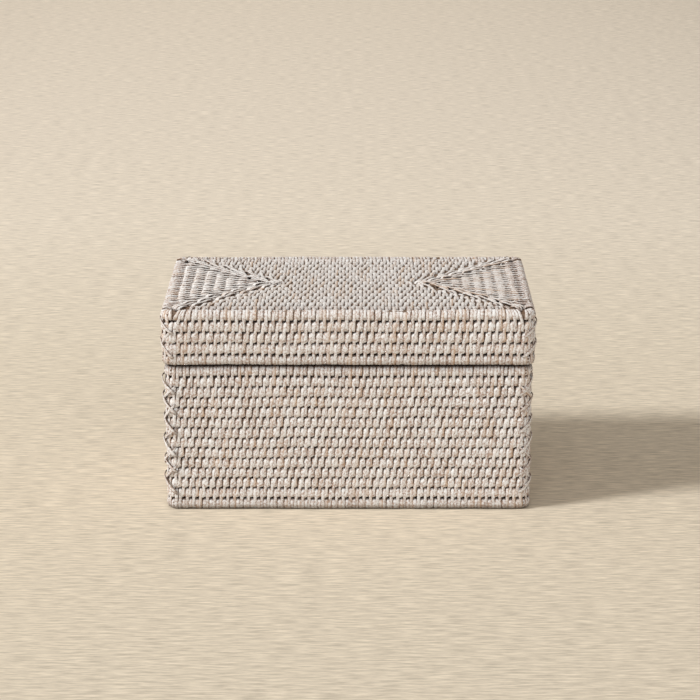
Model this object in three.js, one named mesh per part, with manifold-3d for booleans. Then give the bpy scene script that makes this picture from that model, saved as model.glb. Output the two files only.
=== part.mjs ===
// A woven lidded box: round rattan rods bent into rectangular rings, laid one on another and laced
// together with split cane, with a lift-off lid made the same way.
// Millimetres, +Z up. The origin is on the table under the middle of the box. +X runs along the
// long side, and the front faces -Y.

import * as THREE from "three";
import { mergeVertices } from "three/addons/utils/BufferGeometryUtils.js";
import Module from "manifold-3d";

const wasm = await Module();
wasm.setup();

// Rods
const baseRodDiameter = 7.7;
const baseFootRodDiameter = 8.6;
const baseRimRodDiameter = 8.6;
const floorRodDiameter = 8.2;
const lidRodDiameter = 8.3;
const wallBendRadius = 5.3; // of a wall rod's centre line, round each corner
const ringBendInside = 1; // radius on the hollow side of a bent ring
const baseWallRodCount = 12; // between the foot rod and the rim rod
const lidWallRodCount = 4; // below the edge rod
const ringCount = 8; // rings of rod in the floor, and in the top

// Lacing
const laceThickness = 0.9; // of the cane over a rod
const webThickness = 1.2; // of the cane between two rods
const rodClearance = 0.3; // round a rod inside its lacing
const seamGap = 0.3; // between one laced panel and the next
const outerGrooveDepth = 1.6; // between two rods, on the show side
const innerGrooveDepth = 0.8;
const lashingGrooveDepth = 0.4; // between two rods, on a corner
const mitreLashingWidth = 9.6;
const mitreLashingRise = 0.5; // above the top

// The whole
const ridgeLength = 135; // how much longer the box is than it is deep
const lidOverhang = 2; // of the lid past the walls, on each side
const collarThickness = 4.5; // inside the rim
const collarBelowRim = 14;
const collarAboveRim = 10;
const collarChamfer = 1;
const collarBendInside = 1;
const lidFit = 0.8; // between the collar and the inside of the lid

// Welds points that fall together when a shape is made solid
const weldTolerance = 0.0001;

// Round sections have flats at their radius. Corners turn in two steps of 45 degrees.
const rodSides = 8;
const halfFacetTangent = Math.tan(Math.PI / rodSides);
const cornerTangent = Math.tan(Math.PI / 8);

// Sizes of rods and of the lacing over them
const baseRodRadius = baseRodDiameter / 2;
const baseFootRodRadius = baseFootRodDiameter / 2;
const baseRimRodRadius = baseRimRodDiameter / 2;
const floorRodRadius = floorRodDiameter / 2;
const lidRodRadius = lidRodDiameter / 2;
const coverOver = (rodRadius) => rodRadius + rodClearance + laceThickness;
const spacing = (radiusA, radiusB) => radiusA + radiusB + 2 * rodClearance + webThickness;
const ringBend = (rodRadius) => rodRadius + ringBendInside;
const baseCover = coverOver(baseRodRadius);
const footCover = coverOver(baseFootRodRadius);
const rimCover = coverOver(baseRimRodRadius);
const floorCover = coverOver(floorRodRadius);
const lidCover = coverOver(lidRodRadius);

// The rings in the floor and the top start inside the wall's lacing and end next to the straight
// rod of the ridge.
const floorStart = baseCover + Math.max(footCover, baseCover) + seamGap;
const topStart = 2 * lidCover + seamGap;
const ringInset = (start, radius, index) =>
  start + webThickness + rodClearance + radius + index * spacing(radius, radius);
const baseHalfDepth = ringInset(floorStart, floorRodRadius, ringCount);
const baseHalfWidth = baseHalfDepth + ridgeLength / 2;
const lidHalfDepth = baseHalfDepth + lidOverhang;
const lidHalfWidth = baseHalfWidth + lidOverhang;

// The top has as many rings as the floor, so its rods take up what the overhang adds.
const topGaps = webThickness + rodClearance + ringCount * spacing(0, 0);
const topRodRadius = (lidHalfDepth - topStart - topGaps) / (2 * ringCount + 1);
const topCover = coverOver(topRodRadius);

// Where the rods of a wall lie, from its lower edge up
function stack(radii) {
  const rods = [{ at: coverOver(radii[0]), radius: radii[0] }];
  for (const radius of radii.slice(1)) {
    const below = rods.at(-1);
    rods.push({ at: below.at + spacing(below.radius, radius), radius });
  }
  return rods;
}
const stackHeight = (rods) => rods.at(-1).at + coverOver(rods.at(-1).radius);
const baseRadii = [baseFootRodRadius, ...Array(baseWallRodCount).fill(baseRodRadius), baseRimRodRadius];
const baseRods = stack(baseRadii);
const lidRods = stack(Array(lidWallRodCount + 1).fill(lidRodRadius));
const baseHeight = stackHeight(baseRods);
const lidBottom = baseHeight + seamGap;
const topLevel = lidBottom + stackHeight(lidRods) - topCover;

const cane = { color: 0xcdbfb2, roughness: 0.72, metalness: 0 };
const rattan = { color: 0xb39f8c, roughness: 0.8, metalness: 0 };

// Solids

function toSolid(geometry) {
  const bare = geometry.clone();
  for (const name of ["normal", "uv"]) bare.deleteAttribute(name);
  const merged = mergeVertices(bare, weldTolerance);
  return new wasm.Manifold(
    new wasm.Mesh({
      numProp: 3,
      vertProperties: new Float32Array(merged.attributes.position.array),
      triVerts: new Uint32Array(merged.index.array),
    }),
  );
}

function toGeometry(solid) {
  const mesh = solid.getMesh();
  return new THREE.BufferGeometry()
    .setAttribute("position", new THREE.BufferAttribute(mesh.vertProperties, 3))
    .setIndex(new THREE.BufferAttribute(mesh.triVerts, 1));
}

// A shape extruded both ways from a point, with its two axes laid along the given directions
function extruded(shape, length, firstAxis, secondAxis, origin) {
  const geometry = new THREE.ExtrudeGeometry(shape, { depth: length, bevelEnabled: false });
  geometry.translate(0, 0, -length / 2);
  const thirdAxis = new THREE.Vector3().crossVectors(firstAxis, secondAxis);
  geometry.applyMatrix4(new THREE.Matrix4().makeBasis(firstAxis, secondAxis, thirdAxis));
  return geometry.translate(origin.x, origin.y, origin.z);
}

const up = new THREE.Vector3(0, 0, 1);
const down = new THREE.Vector3(0, 0, -1);
const back = new THREE.Vector3(0, 1, 0);
const sides = {
  front: new THREE.Vector3(0, -1, 0),
  back,
  left: new THREE.Vector3(-1, 0, 0),
  right: new THREE.Vector3(1, 0, 0),
};
const corners = {
  front_left: [-1, -1],
  front_right: [1, -1],
  back_left: [-1, 1],
  back_right: [1, 1],
};

// Rods

// A round section of outward and upward points
function roundSection(radius) {
  const reach = radius / Math.cos(Math.PI / rodSides);
  return Array.from({ length: rodSides }, (_, i) => {
    const angle = ((i + 0.5) / rodSides) * 2 * Math.PI;
    return [reach * Math.cos(angle), reach * Math.sin(angle)];
  });
}

// The corner points of a rectangle with bent corners, anticlockwise from above
function ringPath(halfX, halfY, bend) {
  const leg = bend * (1 - cornerTangent);
  const turns = [
    [1, 1],
    [-1, 1],
    [-1, -1],
    [1, -1],
  ];
  return turns.flatMap(([sx, sy]) => {
    const onLongSide = new THREE.Vector2(sx * (halfX - leg), sy * halfY);
    const onShortSide = new THREE.Vector2(sx * halfX, sy * (halfY - leg));
    return sx * sy > 0 ? [onShortSide, onLongSide] : [onLongSide, onShortSide];
  });
}

// The way out of a path at one of its points, long enough to keep the offset sides parallel
function mitreOut(path, i) {
  const here = path[i];
  const out = (from, to) => new THREE.Vector2(to.y - from.y, from.x - to.x).normalize();
  const before = out(path.at(i - 1), here);
  const after = out(here, path[(i + 1) % path.length]);
  const sum = before.clone().add(after);
  return sum.divideScalar(sum.dot(before));
}

// Places a section at each station of a sweep and joins each to the next, with outward faces where
// the sweep runs anticlockwise
function sweep(section, stations, z, isClosed) {
  const place = stations.flatMap(({ point, out }) =>
    section.flatMap(([u, v]) => [point.x + out.x * u, point.y + out.y * u, z + v]),
  );
  const count = section.length;
  const steps = isClosed ? stations.length : stations.length - 1;
  const faces = [];
  for (let i = 0; i < steps; i++) {
    const here = i * count;
    const next = ((i + 1) % stations.length) * count;
    for (let j = 0; j < count; j++) {
      const k = (j + 1) % count;
      faces.push([here + j, next + j, next + k], [here + j, next + k, here + k]);
    }
  }
  if (!isClosed) {
    const outline = section.map(([u, v]) => new THREE.Vector2(u, v));
    const last = steps * count;
    for (const [a, b, c] of THREE.ShapeUtils.triangulateShape(outline, []))
      faces.push([a, b, c], [last + c, last + b, last + a]);
  }
  return { place, faces };
}

function sweptGeometry({ place, faces }) {
  return new THREE.BufferGeometry()
    .setAttribute("position", new THREE.Float32BufferAttribute(place, 3))
    .setIndex(faces.flat());
}

function sweptRing(section, halfX, halfY, bend, z) {
  const path = ringPath(halfX, halfY, Math.min(bend, halfY));
  const stations = path.map((point, i) => ({ point, out: mitreOut(path, i) }));
  return sweptGeometry(sweep(section, stations, z, true));
}

// A straight rod along the ridge, as far from the innermost ring at its ends as along its sides
function ridgeRod(halfX, start, radius, z) {
  const halfLength = halfX - ringInset(start, radius, ringCount - 1) - radius - spacing(0, 0);
  const section = new THREE.Shape(roundSection(radius).map(([u, v]) => new THREE.Vector2(u, v)));
  return extruded(section, 2 * halfLength, back, up, new THREE.Vector3(0, 0, z));
}

// Laced panels

// The section of the lacing over a row of rods, with a hole for each rod. The first axis runs
// along the row and the second points to the show side. Each end of the row is rounded over its
// rod, or cut flat at the place given.
function lacingSection(rods, flatStart, flatEnd) {
  const show = [];
  const inside = [];
  rods.forEach((rod, i) => {
    const cover = coverOver(rod.radius);
    const facet = cover * halfFacetTangent;
    show.push([rod.at - facet, cover], [rod.at + facet, cover]);
    inside.push([rod.at, -cover]);
    const next = rods[i + 1];
    if (!next) return;
    const between = (rod.at + rod.radius + next.at - next.radius) / 2;
    const lower = coverOver(Math.min(rod.radius, next.radius));
    show.push([between, lower - outerGrooveDepth]);
    inside.push([between, innerGrooveDepth - lower]);
  });
  const outline = [
    ...lacingEnd(rods[0], -1, flatStart).reverse(),
    ...show,
    ...lacingEnd(rods.at(-1), 1, flatEnd),
    ...inside.reverse(),
  ];
  const shape = new THREE.Shape(outline.map(([along, out]) => new THREE.Vector2(along, out)));
  for (const rod of rods) {
    const bore = roundSection(rod.radius + rodClearance);
    shape.holes.push(new THREE.Path(bore.map(([u, v]) => new THREE.Vector2(rod.at + u, v))));
  }
  return shape;
}

// The end of a row of lacing, from the show side to the inside
function lacingEnd(rod, side, flatAt) {
  const cover = coverOver(rod.radius);
  const facet = cover * halfFacetTangent;
  if (flatAt !== undefined)
    return [
      [flatAt, cover - outerGrooveDepth],
      [flatAt, innerGrooveDepth - cover],
    ];
  return [
    [rod.at + side * cover, facet],
    [rod.at + side * cover, -facet],
    [rod.at + side * facet, -cover],
  ];
}

// A straight wall of lacing, which stops where its rods start to bend
function wallPanel(rods, halfX, halfY, cover, outward, z) {
  const [reach, halfLength] = outward.y ? [halfY, halfX] : [halfX, halfY];
  const length = 2 * (halfLength - cover - wallBendRadius - seamGap);
  const origin = outward.clone().multiplyScalar(reach - cover).setZ(z);
  return extruded(lacingSection(rods), length, up, outward, origin);
}

// The floor or the top: one panel across both long sides and one at each end, cut along the
// mitres short of where the rods bend, and lashed together along the mitres on both faces
function flatPanel(halfX, halfY, start, radius, toShow, z, rise) {
  const cover = coverOver(radius);
  const bend = ringBend(radius);
  const near = Array.from({ length: ringCount }, (_, i) => ({ at: ringInset(start, radius, i), radius }));
  const far = near.toReversed().map(({ at }) => ({ at: 2 * halfY - at, radius }));
  const ridge = { at: halfY, radius };
  const endOfRings = halfY - radius - rodClearance;
  const ridgeHalf = halfX - halfY - bend;
  const longPlan = [
    [start, -ridgeHalf - halfY + start],
    [halfY, -ridgeHalf],
    [2 * halfY - start, -ridgeHalf - halfY + start],
    [2 * halfY - start, ridgeHalf + halfY - start],
    [halfY, ridgeHalf],
    [start, ridgeHalf + halfY - start],
  ];
  const endPlan = [
    [start, start - halfY + bend],
    [halfY - bend, 0],
    [start, halfY - bend - start],
  ];
  const cutFrom = (rods, flatEnd, plan, outward, reach, halfLength) => {
    const inward = outward.clone().negate();
    const origin = outward.clone().multiplyScalar(reach).setZ(z);
    const section = lacingSection(rods, start, flatEnd);
    const strip = toSolid(extruded(section, 2 * halfLength, inward, toShow, origin));
    const across = new THREE.Vector3().crossVectors(up, inward);
    const outline = new THREE.Shape(plan.map(([along, aside]) => new THREE.Vector2(along, aside)));
    return strip.intersect(toSolid(extruded(outline, 3 * cover, inward, across, origin)));
  };
  const solids = [
    cutFrom([...near, ridge, ...far], 2 * halfY - start, longPlan, sides.front, halfY, halfX),
    cutFrom(near, endOfRings, endPlan, sides.left, halfX, halfY),
    cutFrom(near, endOfRings, endPlan, sides.right, halfX, halfY),
  ];
  const low = cover - (laceThickness * 3) / 4;
  const high = cover - laceThickness / 4;
  for (const signs of Object.values(corners)) {
    const outline = new THREE.Shape(mitreLashingPlan(halfY - start));
    const inward = new THREE.Vector3(-signs[0], -signs[1], 0).normalize();
    const aside = new THREE.Vector3().crossVectors(up, inward);
    for (const face of [-1, 1]) {
      const far = face === toShow.z ? high + rise : high;
      const level = z + (face * (low + far)) / 2;
      const corner = new THREE.Vector3(signs[0] * (halfX - start), signs[1] * (halfY - start), level);
      solids.push(toSolid(extruded(outline, far - low, inward, aside, corner)));
    }
  }
  return toGeometry(solids.reduce((whole, solid) => whole.add(solid)));
}

// A flat strip along a mitre, pointed into the corner and crossing the end of the ridge
function mitreLashingPlan(reach) {
  const halfWidth = mitreLashingWidth / 2;
  const tip = seamGap * Math.SQRT2;
  const end = reach * Math.SQRT2 + halfWidth / 2;
  return [
    new THREE.Vector2(tip, 0),
    new THREE.Vector2(tip + halfWidth, -halfWidth),
    new THREE.Vector2(end, -halfWidth),
    new THREE.Vector2(end, halfWidth),
    new THREE.Vector2(tip + halfWidth, halfWidth),
  ];
}

// Corner lashings

// Outward and upward points of the lashing over a stack of rods. It hugs each rod and has a groove
// on its show side between one rod and the next.
function lashingSection(rods) {
  const outer = [];
  const inner = [];
  rods.forEach((rod, i) => {
    const bore = rod.radius + rodClearance;
    const boreFacet = bore * halfFacetTangent;
    outer.push([coverOver(rod.radius), rod.at]);
    inner.push([bore, rod.at - boreFacet], [bore, rod.at + boreFacet]);
    const next = rods[i + 1];
    if (!next) return;
    const between = (rod.at + rod.radius + next.at - next.radius) / 2;
    const thinner = Math.min(rod.radius, next.radius);
    outer.push([coverOver(thinner) - lashingGrooveDepth, between]);
    inner.push([thinner + rodClearance, between]);
  });
  return [
    ...lashingEnd(rods[0], -1).reverse(),
    ...outer,
    ...lashingEnd(rods.at(-1), 1),
    ...inner.reverse(),
  ];
}

// Where a lashing turns over its last rod, from the show side round to the inside
function lashingEnd(rod, side) {
  const cover = coverOver(rod.radius);
  const facet = cover * halfFacetTangent;
  const bore = rod.radius + rodClearance;
  const boreFacet = bore * halfFacetTangent;
  return [
    [cover, rod.at + side * facet],
    [facet, rod.at + side * cover],
    [boreFacet, rod.at + side * cover],
    [boreFacet, rod.at + side * bore],
  ];
}

// The lashing round one corner of the box, between the ends of two wall panels
function cornerLashing(rods, halfX, halfY, cover, [sx, sy], z) {
  const inset = cover + wallBendRadius;
  const centre = new THREE.Vector2(sx * (halfX - inset), sy * (halfY - inset));
  const toLong = new THREE.Vector2(0, sy);
  const toShort = new THREE.Vector2(sx, 0);
  const fromLong = toLong.clone().addScaledVector(toShort, cornerTangent);
  const fromShort = toShort.clone().addScaledVector(toLong, cornerTangent);
  const stations = [
    [toLong, toLong],
    [fromLong, fromLong],
    [fromShort, fromShort],
    [toShort, toShort],
  ].map(([way, out]) => ({ point: centre.clone().addScaledVector(way, wallBendRadius), out }));
  const anticlockwise = sx * sy > 0 ? stations.reverse() : stations;
  return sweptGeometry(sweep(lashingSection(rods), anticlockwise, z, false));
}

// The collar inside the rim, which carries a shoulder over the rim that the lid drops over
function locatingCollar() {
  const outerBelow = baseCover + Math.max(rimCover, baseCover) + seamGap;
  const outerAbove = 2 * lidCover - lidOverhang + lidFit;
  const inner = outerBelow + collarThickness;
  const shoulder = seamGap;
  const section = [
    [-inner, -collarBelowRim],
    [-outerBelow, -collarBelowRim],
    [-outerBelow, shoulder],
    [-outerAbove, shoulder],
    [-outerAbove, collarAboveRim - collarChamfer],
    [-outerAbove - collarChamfer, collarAboveRim],
    [collarChamfer - inner, collarAboveRim],
    [-inner, collarAboveRim - collarChamfer],
  ];
  const onPath = section.map(([u, v]) => [u + inner, v]);
  const [halfX, halfY] = [baseHalfWidth - inner, baseHalfDepth - inner];
  return sweptRing(onPath, halfX, halfY, collarBendInside, baseHeight);
}

// The assembly

const box = new THREE.Group();
const base = new THREE.Group();
const lid = new THREE.Group();
box.add(base, lid);

function add(group, name, geometry, look) {
  const mesh = new THREE.Mesh(geometry, new THREE.MeshStandardMaterial(look));
  mesh.name = name;
  group.add(mesh);
}

const numbered = (name, index) => `${name}_${String(index + 1).padStart(2, "0")}`;

function addWalls(group, name, rods, rodNames, halfX, halfY, cover, z) {
  rods.forEach((rod, i) => {
    const section = roundSection(rod.radius);
    const ring = sweptRing(section, halfX - cover, halfY - cover, wallBendRadius, z + rod.at);
    add(group, rodNames[i], ring, rattan);
  });
  for (const [side, outward] of Object.entries(sides))
    add(group, `${name}_${side}_lacing`, wallPanel(rods, halfX, halfY, cover, outward, z), cane);
  for (const [corner, signs] of Object.entries(corners)) {
    const lashing = cornerLashing(rods, halfX, halfY, cover, signs, z);
    add(group, `${name}_corner_lashing_${corner}`, lashing, cane);
  }
}

function addFlat(group, name, halfX, halfY, start, radius, toShow, z, rise) {
  for (let i = 0; i < ringCount; i++) {
    const inset = ringInset(start, radius, i);
    const bend = ringBend(radius);
    const ring = sweptRing(roundSection(radius), halfX - inset, halfY - inset, bend, z);
    add(group, numbered(`${name}_rod`, i), ring, rattan);
  }
  add(group, `${name}_ridge_rod`, ridgeRod(halfX, start, radius, z), rattan);
  add(group, `${name}_lacing`, flatPanel(halfX, halfY, start, radius, toShow, z, rise), cane);
}

const wallRodNames = (name, count) => Array.from({ length: count }, (_, i) => numbered(name, i));
const baseRodNames = ["base_foot_rod", ...wallRodNames("base_wall_rod", baseWallRodCount), "base_rim_rod"];
const lidRodNames = [...wallRodNames("lid_wall_rod", lidWallRodCount), "lid_edge_rod"];

addWalls(base, "base", baseRods, baseRodNames, baseHalfWidth, baseHalfDepth, baseCover, 0);
const floorLevel = floorCover;
addFlat(base, "floor", baseHalfWidth, baseHalfDepth, floorStart, floorRodRadius, down, floorLevel, 0);
add(base, "locating_collar", locatingCollar(), rattan);

addWalls(lid, "lid", lidRods, lidRodNames, lidHalfWidth, lidHalfDepth, lidCover, lidBottom);
const rise = laceThickness / 4 + mitreLashingRise;
addFlat(lid, "lid_top", lidHalfWidth, lidHalfDepth, topStart, topRodRadius, up, topLevel, rise);

export default box;
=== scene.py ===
# %% [markdown]
# # A woven rattan box with a lift-off lid
#
# The real box is made of round rattan rods, bent into rectangles and stacked, and bound together
# with split cane strips about 3 mm wide. Each strip goes over two rods, dives between two others and
# comes back, and its neighbour is one rod out of step. That half step gives the rows of small dark
# slots. The CAD model already has every rod at its real place, with a plain skin over each wall that
# stands in for the strips. This script keeps the rods and puts real strips where the skins are.

import math
from functools import partial

import bpy
import numpy as np
from mathutils import Matrix, Vector


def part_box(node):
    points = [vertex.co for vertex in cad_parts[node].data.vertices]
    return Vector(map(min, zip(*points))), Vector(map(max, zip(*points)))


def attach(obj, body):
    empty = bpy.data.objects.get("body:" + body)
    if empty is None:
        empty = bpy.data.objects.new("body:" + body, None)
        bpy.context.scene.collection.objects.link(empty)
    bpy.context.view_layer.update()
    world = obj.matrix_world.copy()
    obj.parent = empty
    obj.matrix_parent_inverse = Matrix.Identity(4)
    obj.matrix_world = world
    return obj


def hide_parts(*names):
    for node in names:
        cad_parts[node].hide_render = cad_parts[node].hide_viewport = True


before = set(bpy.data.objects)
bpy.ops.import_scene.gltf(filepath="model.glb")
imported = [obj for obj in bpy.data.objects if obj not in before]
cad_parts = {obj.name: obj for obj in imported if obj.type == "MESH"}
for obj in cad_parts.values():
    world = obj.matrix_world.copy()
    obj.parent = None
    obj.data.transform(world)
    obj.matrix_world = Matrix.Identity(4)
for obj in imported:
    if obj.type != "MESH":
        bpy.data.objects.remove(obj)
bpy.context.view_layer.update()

# %% [markdown]
# ## Sizes read from the rods
#
# Nothing is measured twice: every length that the weave needs comes from the rods' own boxes. A
# rod's box gives its level, its thickness and where its centre line runs, so the strips fit them.

# %% Rod levels and radii
MM = 0.001


def rod(name):
    """Half length, half depth and level of a rod's centre line, and its radius."""
    low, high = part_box(name)
    radius = (high.z - low.z) / 2
    return {
        "half_x": (high.x - low.x) / 2 - radius,
        "half_y": (high.y - low.y) / 2 - radius,
        "z": (high.z + low.z) / 2,
        "r": radius,
    }


def rods(prefix, count):
    return [rod(f"{prefix}_{i + 1:02d}") for i in range(count)]


base_rods = [rod("base_foot_rod"), *rods("base_wall_rod", 12), rod("base_rim_rod")]
lid_rods = [*rods("lid_wall_rod", 4), rod("lid_edge_rod")]
top_rings = rods("lid_top_rod", 8)
floor_rings = rods("floor_rod", 8)
for label, found in (("base", base_rods), ("lid", lid_rods), ("top", top_rings), ("floor", floor_rings)):
    print(label, [[round(v * 1000, 2) for v in r.values()] for r in (found[0], found[1], found[-1])])

# %% [markdown]
# ## The camera
#
# The camera stands where the photograph was taken from: about 2 m away, a little above, with a long
# lens. Its place was worked out from the corners of the lid and the lines between the rods.

# %% Camera
CAMERA_PLACE = Vector((7.7, -2033.8, 735.0)) * MM
CAMERA_PITCH = math.radians(16.79)
CAMERA_YAW = math.radians(-0.18)
CAMERA_ROLL = math.radians(-0.06)
FOCAL_PIXELS = 2292
PHOTO_PIXELS = 700
SENSOR_WIDTH = 36

camera_data = bpy.data.cameras.new("camera")
camera_data.lens = FOCAL_PIXELS / PHOTO_PIXELS * SENSOR_WIDTH
camera_data.sensor_width = SENSOR_WIDTH
camera_data.clip_start = 0.1
camera_data.clip_end = 50
camera = bpy.data.objects.new("camera", camera_data)
level_way = math.cos(CAMERA_PITCH)
ahead = Vector((math.sin(CAMERA_YAW) * level_way, math.cos(CAMERA_YAW) * level_way, 0))
looking = ahead - Vector((0, 0, math.sin(CAMERA_PITCH)))
roll = Matrix.Rotation(CAMERA_ROLL, 3, "Z").to_quaternion()
camera.rotation_mode = "QUATERNION"
camera.rotation_quaternion = looking.to_track_quat("-Z", "Y") @ roll
camera.location = CAMERA_PLACE
bpy.context.scene.collection.objects.link(camera)
bpy.context.scene.camera = camera
print("camera", tuple(round(v, 3) for v in camera.location), round(camera_data.lens, 1), "mm")

# %% [markdown]
# ## Helpers for node trees
#
# A node tree is easier to read when adding a node and joining it takes one line. A value in the
# call is either a plain number, which is written on the socket, or another node's output, which is
# linked to it. A tree's sums get short names too, so that a formula reads almost like one on paper.


# %% Node helpers
def put(tree, socket, value):
    """Links value to the socket if it is another socket, and otherwise writes it there."""
    if isinstance(value, bpy.types.NodeSocket):
        tree.links.new(value, socket)
    else:
        socket.default_value = value


def node(tree, kind, values=None, **settings):
    """One node, with its settings, and its inputs by name or by number."""
    made = tree.nodes.new(kind)
    for name, setting in settings.items():
        setattr(made, name, setting)
    for key, value in (values or {}).items():
        put(tree, made.inputs[key], value)
    return made


def maths(tree, operation, *values):
    """One Math node. Values fill its sockets in order."""
    return node(tree, "ShaderNodeMath", dict(enumerate(values)), operation=operation).outputs[0]


def sums(tree, *kinds):
    """Short names for one tree's commonest Math nodes. MULTIPLY_ADD is a times b plus c."""
    return [partial(maths, tree, kind) for kind in kinds]


def vector_of(tree, x=0.0, y=0.0, z=0.0):
    return node(tree, "ShaderNodeCombineXYZ", {0: x, 1: y, 2: z}).outputs[0]


def vector_maths(tree, operation, first, second):
    """One Vector Math node. For SCALE, second is a number."""
    values = {0: first, "Scale" if operation == "SCALE" else 1: second}
    return node(tree, "ShaderNodeVectorMath", values, operation=operation).outputs[0]


def remap(tree, value, low, high, new_low, new_high):
    """Turns low into new_low and high into new_high, and holds them beyond."""
    values = {"Value": value, "From Min": low, "From Max": high, "To Min": new_low, "To Max": new_high}
    return node(tree, "ShaderNodeMapRange", values).outputs["Result"]


def noise(tree, place, scale, detail):
    return node(tree, "ShaderNodeTexNoise", {"Vector": place, "Scale": scale, "Detail": detail}).outputs


def new_tree(name, kind, inputs, outputs):
    """An empty node group and its two end nodes. An input is given by its default, or by its kind
    in a word, and an output by its kind."""
    kinds = {float: "Float", int: "Int", tuple: "Color"}
    tree = bpy.data.node_groups.new(name, kind)
    for way, sockets in (("INPUT", inputs), ("OUTPUT", outputs)):
        for label, given in sockets.items():
            kind_word = given if isinstance(given, str) else kinds[type(given)]
            socket = tree.interface.new_socket(label, in_out=way, socket_type=f"NodeSocket{kind_word}")
            if given != kind_word:
                socket.default_value = given
    return tree, tree.nodes.new("NodeGroupInput"), tree.nodes.new("NodeGroupOutput")


# %% [markdown]
# ## The finish of the cane
#
# Each strip is limewashed: a pale grey-white wash lies over pinkish beige cane, patchy all over and
# whitest along the middle of each strip, where it also paints a highlight on the strip's rounded top.
# It could be one flat colour with a bump, but then the box would look moulded. Here two small groups
# do it: one draws grain along the strip, from the strip's own coordinates, and the other mixes bare
# cane, wash, a warm tint and a dark colour that is mostly painted shade, with some grime.

# %% Grain group
STREAK_STRETCH = (1.3, 0.6, 1.0)
BLOTCH_STRETCH = (0.6, 2.6, 1.0)

grain_tree, grain_in, grain_out = new_tree(
    "cane grain",
    "ShaderNodeTree",
    {"Vector": "Vector", "Fineness": 1.0},
    {"Streaks": "Float", "Blotches": "Float"},
)
fine = vector_maths(grain_tree, "SCALE", grain_in.outputs["Vector"], grain_in.outputs["Fineness"])
for label, stretch, detail in (("Streaks", STREAK_STRETCH, 3.0), ("Blotches", BLOTCH_STRETCH, 2.0)):
    drawn = vector_maths(grain_tree, "MULTIPLY", fine, stretch)
    put(grain_tree, grain_out.inputs[label], noise(grain_tree, drawn, 1.0, detail)["Fac"])

# %% Limewash group
# The Crown input, for the cane the middle of each strip across its width, whitens the wash there: partly a
# thicker wash, partly a painted highlight on the strip's rounded top.
WASH_SHARES = {"Streaks": 0.8, "Tone": 0.35, "Blotches": 3.2, "Crown": 0.6}
WASH_STARTS, WASH_COVERS = 2.05, 2.9
OCHRE_SHARE = 1.3
BARE_ROUGHNESS, WASH_ROUGHNESS = 0.6, 0.2
WASH_HEIGHT = 0.35

wash_tree, wash_in, wash_out = new_tree(
    "limewash",
    "ShaderNodeTree",
    {
        "Bare": (0.6, 0.5, 0.4, 1),
        "Wash": (0.8, 0.76, 0.72, 1),
        "Ochre": (0.6, 0.42, 0.22, 1),
        "Shade_And_Grime": (0.1, 0.07, 0.05, 1),
        "Tone": 0.5,
        "Warmth": 0.0,
        "Streaks": 0.5,
        "Blotches": 0.5,
        "Crown": 0.5,
        "Deep": 0.0,
    },
    {"Color": "Color", "Roughness": "Float", "Height": "Float"},
)
given = wash_in.outputs
times, times_plus = sums(wash_tree, "MULTIPLY", "MULTIPLY_ADD")
cover = 0.0
for label, share in WASH_SHARES.items():
    cover = times_plus(given[label], share, cover)
cover = remap(wash_tree, cover, WASH_STARTS, WASH_COVERS, 0.0, 1.0)
coloured = given["Bare"]
warmed = times(times(given["Warmth"], given["Streaks"]), OCHRE_SHARE)
# The mix by Deep pulls a point towards the dark colour: painted shade where strips dive and lie under one
# another, with some grime.
for share, layer in ((cover, "Wash"), (warmed, "Ochre"), (given["Deep"], "Shade_And_Grime")):
    values = {0: share, 6: coloured, 7: given[layer]}
    coloured = node(wash_tree, "ShaderNodeMix", values, data_type="RGBA").outputs[2]
put(wash_tree, wash_out.inputs["Color"], coloured)
put(wash_tree, wash_out.inputs["Roughness"], times_plus(cover, WASH_ROUGHNESS, BARE_ROUGHNESS))
put(wash_tree, wash_out.inputs["Height"], times_plus(cover, WASH_HEIGHT, given["Streaks"]))

# %% [markdown]
# ## Three materials
#
# The strips carry their own numbers: `tone` and `warmth` differ from strip to strip, `along` and
# `across` are places on the strip, and `deep` says how far a point dives between the rods. The
# material paints deep points dark: painted shade in the slots, gaps and undersides, with some grime.
# The rods and the collar have no such numbers, so their materials read Object coordinates.


# %% Material helpers
def srgb(r, g, b):
    """A colour picked from a screen, 0 to 255, as the linear colour that a shader wants."""
    linear = [(v / 255 / 12.92) if v <= 10 else ((v / 255 + 0.055) / 1.055) ** 2.4 for v in (r, g, b)]
    return (*linear, 1)


def attribute(tree, name):
    return node(tree, "ShaderNodeAttribute", attribute_name=name).outputs["Fac"]


def new_material(name):
    made = bpy.data.materials.new(name)
    made.use_nodes = True
    return made, made.node_tree, made.node_tree.nodes["Principled BSDF"]


def grained(tree, place, fineness=1.0):
    values = {"Vector": place, "Fineness": fineness}
    return node(tree, "ShaderNodeGroup", values, node_tree=grain_tree).outputs


def limewash(tree, shader, grain, relief, **inputs):
    """Joins a material's own shader to the limewash group, whose inputs are given by name. Relief
    holds the bump's strength and distance, and the specular level."""
    values = {name.title(): value for name, value in inputs.items()}
    values |= {"Streaks": grain["Streaks"], "Blotches": grain["Blotches"]}
    wash = node(tree, "ShaderNodeGroup", values, node_tree=wash_tree).outputs
    strength, distance, gloss = relief
    values = {"Strength": strength, "Distance": distance, "Height": wash["Height"]}
    normal = node(tree, "ShaderNodeBump", values).outputs["Normal"]
    for label, value in (("Base Color", wash["Color"]), ("Roughness", wash["Roughness"]), ("Normal", normal)):
        put(tree, shader.inputs[label], value)
    shader.inputs["Specular IOR Level"].default_value = gloss


# %% Cane lacing material
CANE_BARE = srgb(178, 154, 142)
CANE_WASH = srgb(240, 241, 243)
CANE_OCHRE = srgb(204, 168, 132)
# The dark colour that deep points take: painted shade in slots, gaps and undersides, with some grime.
CANE_SHADE_AND_GRIME = srgb(72, 54, 44)
# The edges of every strip darken a little: painted shade between neighbouring strips, with dust in the
# grooves.
EDGE_STARTS, EDGE_SHADE_AND_DUST = 0.75, 0.1
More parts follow.
